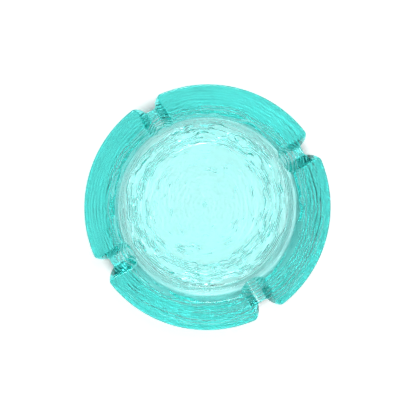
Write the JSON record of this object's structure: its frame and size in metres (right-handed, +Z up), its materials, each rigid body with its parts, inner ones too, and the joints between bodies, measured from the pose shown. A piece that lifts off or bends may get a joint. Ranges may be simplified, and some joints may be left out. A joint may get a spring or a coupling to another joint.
{
  "type": "glass ashtray",
  "caption": "Low round ashtray of pressed aqua glass, with a deep flat well, a broad rim crossed by cigarette rests, and ringed ridges on the outside.",
  "frame": {"origin": "centre of the foot ring, on the surface that the dish stands on", "axes": "+Z up along the dish's round axis; the four rests run along +X, +Y, -X and -Y"},
  "size_m": [0.1072, 0.1072, 0.022],
  "materials": {
    "aqua_glass": "glossy pressed glass, tinted aqua right through"
  },
  "bodies": {
    "root": {"ashtray_glass": "aqua_glass"}
  },
  "joints": []
}
